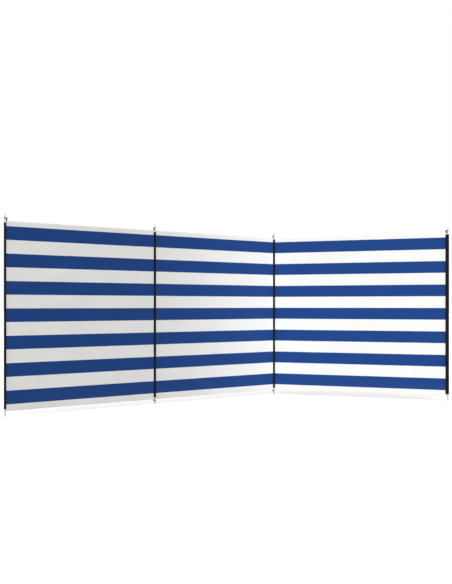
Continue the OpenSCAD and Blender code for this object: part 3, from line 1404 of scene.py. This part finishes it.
@dataclass
class Studio:
    """Camera, floor and soft light."""

    camera_at: Point = (-11.810, -7.8156, 0.8216)
    heading_deg: float = 35.294
    focal_px: float = 1528.5
    horizon_px: float = 305.44
    picture_tall_px: int = 584
    film_mm: float = 36.0
    sight_m: Pair = (0.1, 1000.0)
    floor_reach: float = 120.0
    floor_hex: str = "#BDBCB9"
    floor_rough: float = 0.95
    floor_lift: float = 0.55
    ambient: float = 0.268
    key: float = 1.18
    key_from: Point = (-0.644, -0.358, 0.676)
    fill: float = 0.5
    fill_from: Point = (0.55, 0.60, 0.58)
    soft_deg: float = 55.0
    corner: float = 0.34
    corner_at: Point = (-1.0, -10.0, 0.75)
    corner_to: Point = (0.6, 0.0, 1.45)
    corner_deg: float = 27.0
    corner_soft: float = 0.8
    # The beam is taller than it is wide, and its middle is high, so that the cloth is lightest at its top.
    corner_beam: Point = (1.0, 1.5, 1.0)

    def camera(self) -> None:
        """Sets a level camera where the photograph was taken from."""
        data = bpy.data.cameras.new("camera")
        data.sensor_width = self.film_mm
        data.lens = self.focal_px * self.film_mm / self.picture_tall_px
        data.shift_y = (self.horizon_px - self.picture_tall_px / 2) / self.picture_tall_px
        data.clip_start, data.clip_end = self.sight_m
        made = put_in_scene("camera", data)
        made.location = self.camera_at
        made.rotation_euler = (math.pi / 2, 0.0, math.radians(self.heading_deg) - math.pi / 2)
        bpy.context.scene.camera = made

    def floor(self) -> None:
        """Lays a pale floor that meets the white background, and keeps the object's shadow."""
        material, tree, shader = new_material("matt_pale_floor", {
            "Base Color": linear(self.floor_hex),
            "Roughness": self.floor_rough,
            "Specular IOR Level": 0.0,
            "Emission Color": WHITE,
        })
        lift = add_node(tree, "Math", {0: self._seen(tree), 1: self.floor_lift}, operation="MULTIPLY")
        tree.links.new(lift.outputs[0], shader.inputs["Emission Strength"])
        mesh = bpy.data.meshes.new("floor")
        r = self.floor_reach
        mesh.from_pydata([(-r, -r, 0.0), (r, -r, 0.0), (r, r, 0.0), (-r, r, 0.0)], [], [(0, 1, 2, 3)])
        mesh.materials.append(material)
        put_in_scene("floor", mesh)

    def _seen(self, tree: Tree) -> Socket:
        """Tells rays that see a surface, straight or in a gloss, from rays that light one.

        Args:
            tree: The node tree.

        Returns:
            The socket, which is 1 for a ray that sees.
        """
        path = add_node(tree, "LightPath").outputs
        seen = path["Is Camera Ray"]
        for other in ("Is Glossy Ray", "Is Transmission Ray"):
            seen = add_node(tree, "Math", {0: seen, 1: path[other]}, operation="MAXIMUM").outputs[0]
        return seen

    def world(self) -> None:
        """Lights the scene evenly from all round, in front of a white background."""
        world = bpy.data.worlds.new("studio")
        world.use_nodes = True
        tree = world.node_tree
        tree.nodes.clear()
        light, white = (add_node(tree, "Background", {"Color": WHITE, "Strength": level}).outputs[0]
                        for level in (self.ambient, 1.0))
        both = add_node(tree, "MixShader", {0: self._seen(tree), 1: light, 2: white})
        add_node(tree, "OutputWorld", {"Surface": both.outputs[0]})
        bpy.context.scene.world = world

    def lamp(self, name: str, level: float, towards: Point) -> None:
        """Adds a broad, far lamp.

        Args:
            name: The lamp's name.
            level: How bright a white surface is that faces it.
            towards: Direction from the object to the lamp.
        """
        data = bpy.data.lights.new(name, "SUN")
        data.energy = level * math.pi
        data.angle = math.radians(self.soft_deg)
        made = put_in_scene(name, data)
        made.rotation_mode = "QUATERNION"
        made.rotation_quaternion = Vector(towards).to_track_quat("Z", "Y")

    def corner_lamp(self) -> None:
        """Adds a soft-edged lamp that brightens the middle bay towards the corner.

        It stands for the light off the next bay.
        """
        data = bpy.data.lights.new("corner", "SPOT")
        way = Vector(self.corner_to) - Vector(self.corner_at)
        data.energy = self.corner * (math.tau * way.length) ** 2
        data.spot_size = math.radians(self.corner_deg)
        data.spot_blend = 1.0
        data.shadow_soft_size = self.corner_soft
        made = put_in_scene("corner", data)
        made.location = self.corner_at
        made.rotation_mode = "QUATERNION"
        made.rotation_quaternion = way.to_track_quat("-Z", "Y")
        made.scale = self.corner_beam

    def build(self) -> None:
        """Sets up the studio."""
        self.camera()
        self.floor()
        self.world()
        self.lamp("key", self.key, self.key_from)
        self.lamp("fill", self.fill, self.fill_from)
        self.corner_lamp()
        bpy.context.scene.view_settings.view_transform = "Standard"


def bays_of(layout: Layout) -> list[ClothBay]:
    """Sets the three bays between the seams that hold them.

    Args:
        layout: The places that the pieces share.

    Returns:
        The bays from left to right.
    """
    first, second = layout.poles[:2]
    corner = layout.corner
    left_edge = SewnTape("left_seam", second, Side.LEFT, layout, seed=81)
    right_edge = SewnTape("right_seam", corner, Side.RIGHT, layout, seed=83)
    return [
        ClothBay("left", layout, first, layout.between("pocket_1", "left_seam", first),
                 ("pole_1", "pole_2"), seed=11, edge=left_edge),
        ClothBay("middle", layout, second, layout.between("pocket_2", "pocket_3", second),
                 ("pole_2", "pole_3"), seed=23),
        ClothBay("right", layout, corner, layout.between("right_seam", "pocket_4", corner),
                 ("pole_3", "pole_4"), seed=37, edge=right_edge),
    ]


def sleeves_of(layout: Layout) -> list[PoleSleeve]:
    """Lists the sleeve of each pole.

    Args:
        layout: The places that the pieces share.

    Returns:
        The sleeves from left to right.
    """
    sides = (Side.RIGHT, Side.RIGHT, Side.LEFT, Side.LEFT)
    return [
        PoleSleeve(f"pocket_{i}", place, side, layout, seed=60 + 2 * i)
        for i, (place, side) in enumerate(zip(layout.poles, sides), start=1)
    ]


def loops_of(layout: Layout) -> list[ElasticLoop]:
    """Lists the loops. The end poles have a heavier one, and none at the bottom.

    Args:
        layout: The places that the pieces share.

    Returns:
        The loops.
    """
    heavy = 6.0
    return [
        ElasticLoop(1, End.TOP, Side.RIGHT, layout, cord=heavy),
        ElasticLoop(4, End.TOP, Side.LEFT, layout, cord=heavy),
        *(ElasticLoop(i, end, Side.LEFT, layout) for i in (2, 3) for end in End),
    ]


def main() -> None:
    """Builds the studio and the object, piece by piece."""
    logging.basicConfig(level=logging.INFO, format="%(name)s: %(message)s")
    Studio().build()
    layout, finishes = Layout.read(), Finishes.make()
    poles = [Pole(number, layout) for number in range(1, 5)]
    for part in (*bays_of(layout), *poles, *sleeves_of(layout), *loops_of(layout)):
        for piece in part.build(finishes):
            LOG.info("%s: %d faces", piece.name, len(piece.data.polygons))


if __name__ == "__main__":
    main()
